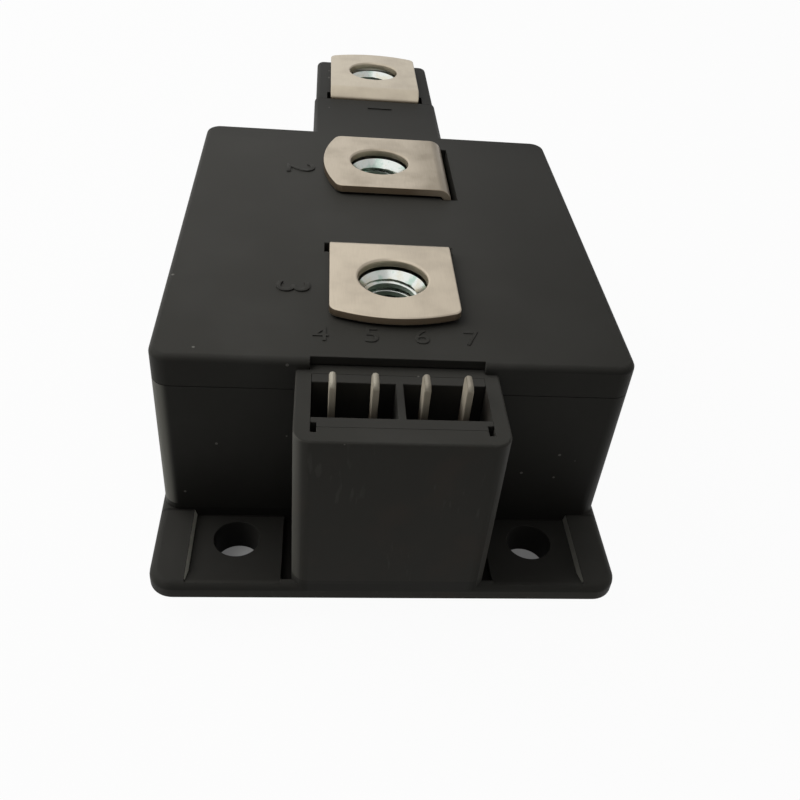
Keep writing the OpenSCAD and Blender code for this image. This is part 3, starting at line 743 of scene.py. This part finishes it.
@dataclass(frozen=True)
class LeadCover(Finish):
    """Extruded insulation with fine draw lines along the lead."""

    shade: Colour = (0.5, 0.5, 0.5)
    line: float = 0.1 * MM
    line_length: float = 4 * MM
    line_depth: float = 0.004 * MM
    line_band: Band = (0.4, 0.7)
    line_share: float = 0.4
    line_gloss: float = 0.2

    def sockets(self, graph: Graph) -> dict:
        """Shader inputs, as in Finish."""
        lines = graph.streaks(Axis.Y, self.line, self.line_length)
        share = lines.ramp(*self.line_band) * self.line_share
        return {
            "Base Color": graph.blend(share, self.colour, self.shade),
            "Roughness": self.roughness + lines.swing(self.line_gloss),
            "Normal": graph.bump(lines, self.line_depth),
        }


@dataclass(frozen=True)
class ClearGel(Finish):
    """Soft clear fill with a slightly uneven skin."""

    haze: Colour = (0.7, 0.75, 0.77)
    skin: float = 6 * MM
    skin_depth: float = 0.1 * MM
    skin_gloss: float = 0.1
    clearness: float = 0.85
    refraction: float = 1.41

    def sockets(self, graph: Graph) -> dict:
        """Shader inputs, as in Finish."""
        skin = graph.noise(self.skin, 2)
        return {
            "Base Color": graph.blend(skin, self.colour, self.haze),
            "Roughness": self.roughness + skin.swing(self.skin_gloss),
            "Transmission Weight": self.clearness,
            "IOR": self.refraction,
            "Normal": graph.bump(skin, self.skin_depth),
        }


HOUSING = MouldedPlastic("housing_plastic", (0.027, 0.0262, 0.0232), 0.5)
FRAME = FootedPlastic("housing_plastic", HOUSING.colour, HOUSING.roughness, "frame_finish")
CARRIER = MouldedPlastic("carrier_plastic", (0.028, 0.0272, 0.0245), 0.55, worn=(0.036, 0.035, 0.032))
# One nickel in three copies whose brightness differs as painted light and shade: the front bar lightest,
# the side bar darkest and darker still towards its right end
REAR_NICKEL = PlatedMetal("nickel", (0.6, 0.53, 0.415), 0.36, "rear_lit_copy", nut="nut_1")
FRONT_NICKEL = PlatedMetal("nickel", (0.655, 0.57, 0.45), 0.36, "front_lit_copy", nut="nut_3")
SIDE_NICKEL = PlatedMetal("nickel", (0.575, 0.5, 0.395), 0.36, "side_shaded_copy", stain_and_shade=(0.36, 0.305, 0.23),
                          tarnish_and_shade=0.8, tarnish_and_shade_band=(3.5 * MM, 9 * MM), nut="nut_2")
# Tabs: their upright faces are paler than their top as painted light, and they darken down into the socket
# as painted shade
TAB_NICKEL = PlatedMetal("tab_nickel", (0.33, 0.305, 0.245), 0.5, stain_and_shade=(0.075, 0.055, 0.037),
                         edge=(0.46, 0.41, 0.32), rolled=Axis.Z, cloud=12 * MM, metal=0.5,
                         tarnish_and_shade=0.9, painted_shade_axis=Axis.Z, tarnish_and_shade_band=(30 * MM, 26 * MM))
ZINC = BrightZinc("zinc", (0.8, 0.83, 0.79), 0.2)
COPPER = BareMetal("copper", (0.72, 0.43, 0.3), 0.36)
SUBSTRATE_COPPER = BareMetal("substrate_copper", (0.74, 0.46, 0.33), 0.3, mark_depth=0.001 * MM)
MOLYBDENUM = BareMetal("molybdenum", (0.5, 0.5, 0.52), 0.4, tarnish_and_shade=(0.36, 0.36, 0.38), mark_length=1 * MM)
CERAMIC = FiredCeramic("ceramic", (0.9, 0.9, 0.86), 0.55)
SILICON = PolishedSilicon("silicon", (0.22, 0.24, 0.28), 0.18)
LEAD_WHITE = LeadCover("lead_white", (0.85, 0.83, 0.76), 0.4, shade=(0.7, 0.68, 0.6))
LEAD_RED = LeadCover("lead_red", (0.62, 0.1, 0.08), 0.4, shade=(0.45, 0.06, 0.05))
GEL = ClearGel("gel", (0.85, 0.9, 0.92), 0.12)


def add_piece(bm: bmesh.types.BMesh, name: str, finish: Finish, *stands_for: str) -> bpy.types.Object:
    """Turn a finished bmesh into a piece of the module.

    Args:
        bm: The mesh in the frame's own place. It is freed.
        name: The piece's name.
        finish: What it is dressed in.
        stands_for: The frame's nodes that it replaces.
    Returns:
        The piece.
    """
    mesh = bpy.data.meshes.new(name)
    for face in bm.faces:
        face.smooth = True
    for edge in bm.edges:
        edge.smooth = edge.calc_face_angle(0) < CREASE
    bm.to_mesh(mesh)
    bm.free()
    piece = bpy.data.objects.new(name, mesh)
    bpy.context.scene.collection.objects.link(piece)
    piece.modifiers.new("even_shading", "WEIGHTED_NORMAL").keep_sharp = True
    mesh.materials.append(finish.material())
    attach(piece, BODY)
    if stands_for:
        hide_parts(*stands_for)
    log.info("%s: %d faces, %s", name, len(mesh.polygons), finish.slot)
    return piece


def dress_node(node: str, finish: Finish) -> None:
    """Dress one of the frame's own nodes.

    Args:
        node: Its name.
        finish: What it is dressed in.
    """
    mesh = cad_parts[node].data
    mesh.materials.clear()
    mesh.materials.append(finish.material())
    log.info("%s: frame node, %s", node, finish.slot)


@dataclass
class RoundedSolid:
    """Copy of a node's solid with its sharp edges rounded."""

    node: str
    finish: Finish
    edge: float
    segments: int = 3
    sharp: float = math.radians(35)
    flat: float = math.radians(0.4)
    narrow: float = 0.0

    def build(self) -> bpy.types.Object:
        """Weld the copy, clear its flat faces and round its edges.

        Returns:
            The piece.
        """
        bm = bmesh.new()
        bm.from_mesh(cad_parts[self.node].data)
        bmesh.ops.remove_doubles(bm, verts=bm.verts, dist=WELD)
        bmesh.ops.dissolve_limit(bm, angle_limit=self.flat, verts=bm.verts, edges=bm.edges)
        self.round_first(bm)
        self.round_edges(bm, self.sharp_edges(bm), self.edge)
        return add_piece(bm, self.node + "_rounded", self.finish, self.node)

    def round_first(self, bm: bmesh.types.BMesh) -> None:
        """Round what has a larger radius than the rest, which a plain solid doesn't have.

        Args:
            bm: The mesh to round.
        """

    def sharp_edges(self, bm: bmesh.types.BMesh) -> list[bmesh.types.BMEdge]:
        """Find the outer edges at which two faces, neither of them a narrow ledge, meet at a clear angle.

        Args:
            bm: The mesh to look through.
        Returns:
            The edges.
        """
        corners = [e for e in bm.edges if e.is_manifold and e.calc_face_angle_signed() > self.sharp]
        return [e for e in corners
                if min(2 * f.calc_area() / f.calc_perimeter() for f in e.link_faces) > self.narrow]

    @staticmethod
    def chains(bm: bmesh.types.BMesh, edges: list[bmesh.types.BMEdge]) -> list[list[bmesh.types.BMEdge]]:
        """Sort edges into groups that hang together.

        Args:
            bm: The mesh that they belong to.
            edges: The edges.
        Returns:
            The groups.
        """
        bm.edges.index_update()
        left = {edge.index: edge for edge in edges}
        groups = []
        while left:
            group = [left.pop(min(left))]
            for edge in group:
                near = {e.index for vert in edge.verts for e in vert.link_edges} & left.keys()
                group.extend(left.pop(index) for index in sorted(near))
            groups.append(group)
        return groups

    def round_edges(self, bm: bmesh.types.BMesh, edges: list[bmesh.types.BMEdge], radius: float) -> None:
        """Round edges.

        Args:
            bm: The mesh that they belong to.
            edges: The edges.
            radius: How far the rounding reaches in from them.
        """
        for chain in self.chains(bm, edges):
            bmesh.ops.bevel(bm, geom=chain, offset=radius, offset_type="OFFSET", affect="EDGES",
                            segments=self.segments, profile=0.5, material=-1, clamp_overlap=True)


@dataclass
class SeatedSolid(RoundedSolid):
    """Moulding whose edges stay sharp along the seam between the socket block and the pin carrier."""

    seam: float = 0.12 * MM

    def sharp_edges(self, bm: bmesh.types.BMesh) -> list[bmesh.types.BMEdge]:
        """Edges at which two faces meet at a clear angle, apart from that seam."""
        low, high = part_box("pin_carrier")
        return [e for e in super().sharp_edges(bm) if not self.on_outline(e, low, high)]

    def on_outline(self, edge: bmesh.types.BMEdge, low: Vector, high: Vector) -> bool:
        """Whether an edge runs along the carrier's outline at its top.

        Args:
            edge: The edge.
            low: The carrier's lowest corner.
            high: Its highest corner.
        Returns:
            True where both ends lie on the same side of the outline.
        """
        ends = [v.co for v in edge.verts]
        if min(end.z for end in ends) < high.z - self.seam:
            return False
        lines = ((0, low.x), (0, high.x), (1, low.y), (1, high.y))
        return any(all(abs(end[axis] - line) < self.seam for end in ends) for axis, line in lines)


@dataclass
class ContactBar(RoundedSolid):
    """Bent terminal bar whose contact plate has round corners."""

    corner: float = 0.8 * MM
    lip: float = 0.34 * MM
    reach: float = 5.6 * MM

    def round_first(self, bm: bmesh.types.BMesh) -> None:
        """Round the upright corners of the contact plate and the lip of its hole, as in RoundedSolid."""
        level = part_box("top_lid")[1].z
        high = [e for e in self.sharp_edges(bm) if min(v.co.z for v in e.verts) > level]
        upright = [e for e in high if (e.verts[0].co.xy - e.verts[1].co.xy).length < WELD]
        middle = (sum(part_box(self.node.replace("terminal", "nut")), Vector()) / 2).xy
        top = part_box(self.node)[1].z
        topmost = [e for e in high if min(v.co.z for v in e.verts) > top - WELD]
        lip = [e for e in topmost if all((v.co.xy - middle).length < self.reach for v in e.verts)]
        self.round_edges(bm, upright, self.corner)
        self.round_edges(bm, lip, self.lip)


@dataclass
class BladeTab(RoundedSolid):
    """Blade tab with a blunt, rounded tip."""

    tip: float = 0.36 * MM
    tip_height: float = 0.8 * MM

    def round_first(self, bm: bmesh.types.BMesh) -> None:
        """Round the tip's edges, as in RoundedSolid."""
        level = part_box(self.node)[1].z - self.tip_height
        high = [e for e in self.sharp_edges(bm) if min(v.co.z for v in e.verts) > level]
        self.round_edges(bm, high, self.tip)


@dataclass
class ThreadedNut:
    """Captive nut with a cut thread and a countersink at each end."""

    node: str
    finish: Finish
    major_r: float = 3.85 * MM
    minor_r: float = 3.4 * MM
    pitch: float = 1.25 * MM
    root: Band = (0.0, 0.1)
    crest: Band = (0.3, 0.78)
    flank_cuts: int = 3
    mouth_r: float = 4.5 * MM
    corner: float = 0.35 * MM
    corner_segments: int = 3
    sides: int = 6
    steps: int = 72

    def build(self) -> bpy.types.Object:
        """Cut the thread and close it with a hexagonal body.

        Returns:
            The piece.
        """
        low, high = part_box(self.node)
        across = min(high.x - low.x, high.y - low.y)
        height = high.z - low.z
        bm = bmesh.new()
        self.cut_thread(bm, height)
        self.add_body(bm, across, height)
        bmesh.ops.recalc_face_normals(bm, faces=bm.faces)
        turn = math.radians(0 if high.x - low.x > high.y - low.y else 90)
        seat = Matrix.Translation(((low.x + high.x) / 2, (low.y + high.y) / 2, low.z))
        bmesh.ops.transform(bm, verts=bm.verts, matrix=seat @ Matrix.Rotation(turn, 4, "Z"))
        return add_piece(bm, self.node + "_threaded", self.finish, self.node)

    def cut_thread(self, bm: bmesh.types.BMesh, height: float) -> None:
        """Wind the thread's profile up the bore and open its ends.

        Args:
            bm: The mesh to add to.
            height: Height of the nut.
        """
        section = [(self.major_r, share) for share in self.root]
        section += [(self.minor_r, share) for share in self.crest]
        turns = math.ceil(height / self.pitch) + 2
        verts = [bm.verts.new((radius, 0, (turn - 1 + share) * self.pitch))
                 for turn in range(turns) for radius, share in section]
        edges = [bm.edges.new(pair) for pair in zip(verts, verts[1:])]
        bmesh.ops.subdivide_edges(bm, edges=edges, cuts=self.flank_cuts)
        climb = Vector((0, 0, self.pitch / self.steps))
        bmesh.ops.spin(bm, geom=bm.verts[:] + bm.edges[:], axis=(0, 0, 1), dvec=climb,
                       angle=2 * math.pi, steps=self.steps, use_merge=False)
        bmesh.ops.remove_doubles(bm, verts=bm.verts, dist=WELD)
        for level, side in ((0, -1), (height, 1)):
            bmesh.ops.bisect_plane(bm, geom=bm.verts[:] + bm.edges[:] + bm.faces[:], clear_outer=True,
                                   plane_co=(0, 0, level), plane_no=(0, 0, side))
        for vert in bm.verts:
            depth = min(vert.co.z, height - vert.co.z)
            reach = vert.co.xy.length
            vert.co.xy *= max(reach, self.mouth_r - depth) / reach

    def add_body(self, bm: bmesh.types.BMesh, across: float, height: float) -> None:
        """Put the hexagon around the bore.

        Args:
            bm: The mesh that holds the thread.
            across: Width across the flats.
            height: Height of the nut.
        """
        half_side = math.pi / self.sides
        radius = across / 2 / math.cos(half_side)
        lift = Matrix.Translation((0, 0, height / 2)) @ Matrix.Rotation(half_side, 4, "Z")
        rims = [e for e in bm.edges if e.is_boundary]
        made = bmesh.ops.create_cone(bm, cap_ends=True, segments=self.sides, radius1=radius, radius2=radius,
                                     depth=height, matrix=lift)
        outline = list({edge for vert in made["verts"] for edge in vert.link_edges})
        bmesh.ops.bevel(bm, geom=outline, offset=self.corner, offset_type="OFFSET", affect="EDGES",
                        segments=self.corner_segments, profile=0.5, material=-1)
        for level in (0, height):
            ends = [f for f in bm.faces if abs(f.calc_center_median().z - level) < WELD]
            caps = [f for f in ends if len(f.verts) == self.sides]
            edges = [e for cap in caps for e in cap.edges]
            edges += [e for e in rims if e.is_valid and abs(e.verts[0].co.z - level) < WELD]
            bmesh.ops.delete(bm, geom=caps, context="FACES_ONLY")
            bmesh.ops.triangle_fill(bm, edges=edges, use_beauty=True)


@dataclass
class Figure:
    """A raised figure on the lid: its text, middle, height and turn about Z, and how its rim is rounded."""

    text: str
    x: float
    y: float
    height: float
    turn: float = 0.0
    rounding: float = 0.06 * MM
    sharp: float = 1.0
    segments: int = 2

    def add_to(self, bm: bmesh.types.BMesh, level: float, rise: float) -> None:
        """Add the figure to a mesh.

        Args:
            bm: The mesh to add to.
            level: Height of the lid's top.
            rise: How far the figure stands up.
        """
        curve = bpy.data.curves.new("figure", "FONT")
        curve.body = self.text
        curve.extrude = 0.5
        text = bpy.data.objects.new("figure", curve)
        bpy.context.scene.collection.objects.link(text)
        bpy.context.view_layer.update()
        mesh = bpy.data.meshes.new_from_object(text)
        bpy.data.objects.remove(text)
        own = bmesh.new()
        own.from_mesh(mesh)
        bpy.data.meshes.remove(mesh)
        corners = [Vector([pick(v.co[i] for v in own.verts) for i in range(3)]) for pick in (min, max)]
        size = self.height / (corners[1].y - corners[0].y)
        sink = rise / 2
        scale = Matrix.Diagonal((size, size, rise + sink, 1))
        place = Matrix.Translation((self.x, self.y, level + (rise - sink) / 2))
        middle = Matrix.Translation(-(corners[0] + corners[1]) / 2)
        bmesh.ops.transform(own, verts=own.verts,
                            matrix=place @ Matrix.Rotation(self.turn, 4, "Z") @ scale @ middle)
        bmesh.ops.remove_doubles(own, verts=own.verts, dist=WELD)
        high = [e for e in own.edges if min(v.co.z for v in e.verts) > level]
        rim = [e for e in high if e.calc_face_angle(0) > self.sharp]
        bmesh.ops.bevel(own, geom=rim, offset=self.rounding, offset_type="OFFSET", affect="EDGES",
                        segments=self.segments, profile=0.5, material=-1, clamp_overlap=True)
        moved = bpy.data.meshes.new("figure")
        own.to_mesh(moved)
        own.free()
        bm.from_mesh(moved)
        bpy.data.meshes.remove(moved)


@dataclass
class Housing:
    """Moulded frame, lid and pin carrier, with the figures on the lid."""

    edge: float = 0.12 * MM
    ledge: float = 0.15 * MM
    rise: float = 0.18 * MM
    control_rise: float = 0.13 * MM
    number_height: float = 4.4 * MM
    control_height: float = 2.9 * MM
    number_place: tuple[float, float] = (-13 * MM, -0.9 * MM)
    rear_place: tuple[float, float] = (0.7 * MM, -15.4 * MM)
    control_gap: float = 5.5 * MM
    control_pitch: float = 6.2 * MM

    def build(self) -> None:
        """Build the three mouldings and the figures."""
        SeatedSolid("housing_frame", FRAME, self.edge, narrow=self.ledge).build()
        RoundedSolid("top_lid", HOUSING, self.edge, narrow=self.ledge).build()
        SeatedSolid("pin_carrier", CARRIER, self.edge).build()
        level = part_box("top_lid")[1].z
        bm = bmesh.new()
        for figure in self.figures():
            large = figure.height > self.control_height
            figure.add_to(bm, level, self.rise if large else self.control_rise)
        add_piece(bm, "moulded_figures", HOUSING)

    def figures(self) -> list[Figure]:
        """Lay out the figures beside the terminals and in front of the control tabs.

        Returns:
            The figures.
        """
        places = {"1": self.rear_place, "2": self.number_place, "3": self.number_place}
        holes = {n: sum(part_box(f"nut_{n}"), Vector()) / 2 for n in places}
        numbers = [Figure(n, x, holes[n].y + y, self.number_height, -math.pi / 2)
                   for n, (x, y) in places.items()]
        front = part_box("top_lid")[0].y + self.control_gap
        controls = "4567"
        middle = (len(controls) - 1) / 2
        row = [Figure(n, (i - middle) * self.control_pitch, front, self.control_height)
               for i, n in enumerate(controls)]
        return numbers + row


@dataclass
class PowerTerminals:
    """Bent contact bars and the nuts under their holes."""

    edge: float = 0.2 * MM
    segments: int = 4

    def build(self) -> None:
        """Build the three bars and the three nuts."""
        for number, finish in ((1, REAR_NICKEL), (2, SIDE_NICKEL), (3, FRONT_NICKEL)):
            ContactBar(f"terminal_{number}", finish, self.edge, self.segments).build()
            ThreadedNut(f"nut_{number}", ZINC).build()


@dataclass
class ControlTabs:
    """Blade tabs of the control socket."""

    edge: float = 0.14 * MM

    def build(self) -> None:
        """Build the four tabs."""
        for number in (4, 5, 6, 7):
            BladeTab(f"control_tab_{number}", TAB_NICKEL, self.edge).build()


@dataclass
class PowerStack:
    """Base plate and what is sealed in above it."""

    edge: float = 0.25 * MM

    def build(self) -> None:
        """Build the base plate and dress the sealed pieces."""
        RoundedSolid("base_plate", COPPER, self.edge).build()
        for side in "ab":
            dress_node(f"substrate_{side}_low_copper", SUBSTRATE_COPPER)
            dress_node(f"substrate_{side}_ceramic", CERAMIC)
            dress_node(f"substrate_{side}_top_copper", SUBSTRATE_COPPER)
            dress_node(f"thyristor_chip_{side}", SILICON)
            dress_node(f"buffer_disc_{side}", MOLYBDENUM)
        dress_node("cathode_bridge", SUBSTRATE_COPPER)
        for number, finish in ((4, LEAD_WHITE), (5, LEAD_RED), (6, LEAD_RED), (7, LEAD_WHITE)):
            dress_node(f"control_lead_{number}", finish)
        dress_node("silicone_gel", GEL)


@dataclass(frozen=True)
class SoftLight:
    """Square softbox: where it stands, its side, its power in watts and whether metal mirrors it."""

    name: str
    place: Triple
    side: float
    power: float
    mirrored: bool = True

    def add(self, aim: Vector) -> None:
        """Add the lamp.

        Args:
            aim: The point that it faces.
        """
        lamp = bpy.data.lights.new(self.name, "AREA")
        lamp.size = self.side
        lamp.energy = self.power
        holder = bpy.data.objects.new(self.name, lamp)
        holder.location = self.place
        holder.rotation_euler = (aim - holder.location).to_track_quat("-Z", "Y").to_euler()
        holder.visible_glossy = self.mirrored
        bpy.context.scene.collection.objects.link(holder)


@dataclass
class Studio:
    """Pale floor, soft light and the camera."""

    floor_colour: Colour = (0.36, 0.36, 0.35)
    floor_side: float = 12.0
    floor_roughness: float = 0.9
    floor_specular: float = 0.1
    fibre: float = 2 * MM
    fibre_shade: float = 0.97
    whiteness: float = 0.96
    under_white: float = 0.075
    under_margin: float = 2 * MM
    ambient: float = 0.18
    falloff: float = 0.45
    falloff_band: Band = (0.0, 0.35)
    lights: tuple[SoftLight, ...] = (
        SoftLight("top_softbox", (-0.25, 0.1, 1.0), 1.3, 3.3, False),
        SoftLight("left_softbox", (-0.34, 0.12, 0.4), 0.5, 3.6, False),
        SoftLight("left_glint", (-0.34, 0.12, 0.4), 0.5, 0.6),
        SoftLight("right_fill", (0.5, 0.12, 0.14), 0.3, 0.7, False),
    )
    camera_place: Triple = (-9.80 * MM, -116.2 * MM, 93.78 * MM)
    heading: float = math.radians(7.42)
    tilt: float = math.radians(39.27)
    roll: float = math.radians(6.27)
    lens: float = 39.85
    shift: tuple[float, float] = (-0.0045, 0.0016)
    nearest: float = 1 * MM

    def build(self) -> None:
        """Set up the floor, the world, the lamps, the camera and the colour transform."""
        self.add_floor()
        self.set_world()
        aim = Vector((0, 0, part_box("top_lid")[1].z))
        for light in self.lights:
            light.add(aim)
        self.add_camera()
        bpy.context.scene.view_settings.view_transform = "Standard"

    def add_floor(self) -> None:
        """Lay a pale floor under the module."""
        bm = bmesh.new()
        bmesh.ops.create_grid(bm, x_segments=1, y_segments=1, size=self.floor_side / 2)
        mesh = bpy.data.meshes.new("floor")
        bm.to_mesh(mesh)
        bm.free()
        floor = bpy.data.objects.new("floor", mesh)
        bpy.context.scene.collection.objects.link(floor)
        paper = bpy.data.materials.new("floor_paper")
        paper.use_nodes = True
        graph = Graph(paper.node_tree)
        shaded = tuple(self.fibre_shade * part for part in self.floor_colour)
        paint = {
            "Base Color": graph.blend(graph.noise(self.fibre, 2), self.floor_colour, shaded),
            "Roughness": self.floor_roughness,
            "Specular IOR Level": self.floor_specular,
        }
        lit = graph.node("ShaderNodeBsdfPrincipled", None, paint)
        white = graph.node("ShaderNodeEmission", None, {"Strength": 1.0})
        across, along, _ = graph.parts(graph.point())
        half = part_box("base_plate")[1] - Vector((self.under_margin, self.under_margin, 0))
        under = (across.math("ABSOLUTE", across) < half.x) * (along.math("ABSOLUTE", along) < half.y)
        share = graph.seen() * (self.whiteness - under * (self.whiteness - self.under_white))
        graph.finish("ShaderNodeOutputMaterial", graph.mix(share, lit, white))
        mesh.materials.append(paper)

    def set_world(self) -> None:
        """Surround the module with an even pale light, of which metal mirrors less from the right."""
        world = bpy.data.worlds.new("studio")
        world.use_nodes = True
        bpy.context.scene.world = world
        graph = Graph(world.node_tree)
        mirrored = 1 - graph.node("ShaderNodeLightPath", output="Is Camera Ray")
        right = graph.parts(graph.point())[0].ramp(*self.falloff_band) * mirrored
        white = (1, 1, 1, 1)
        lit, full, dim = (graph.node("ShaderNodeBackground", None, {"Color": white, "Strength": strength})
                          for strength in (self.ambient, 1.0, 1 - self.falloff))
        graph.finish("ShaderNodeOutputWorld", graph.mix(graph.seen(), lit, graph.mix(right, full, dim)))

    def add_camera(self) -> None:
        """Stand the camera where the picture was taken."""
        lens = bpy.data.cameras.new("camera")
        lens.lens = self.lens
        lens.shift_x, lens.shift_y = self.shift
        holder = bpy.data.objects.new("camera", lens)
        look = (Matrix.Rotation(-self.heading, 4, "Z") @ Matrix.Rotation(math.pi / 2 - self.tilt, 4, "X")
                @ Matrix.Rotation(self.roll, 4, "Z"))
        holder.matrix_world = Matrix.Translation(self.camera_place) @ look
        lens.clip_start = self.nearest
        bpy.context.scene.collection.objects.link(holder)
        bpy.context.scene.camera = holder


def main() -> None:
    """Build the module from its base up, and then the studio around it."""
    logging.basicConfig(level=logging.INFO, format="%(name)s: %(message)s")
    for part in (PowerStack(), Housing(), PowerTerminals(), ControlTabs(), Studio()):
        part.build()


if __name__ == "__main__":
    main()
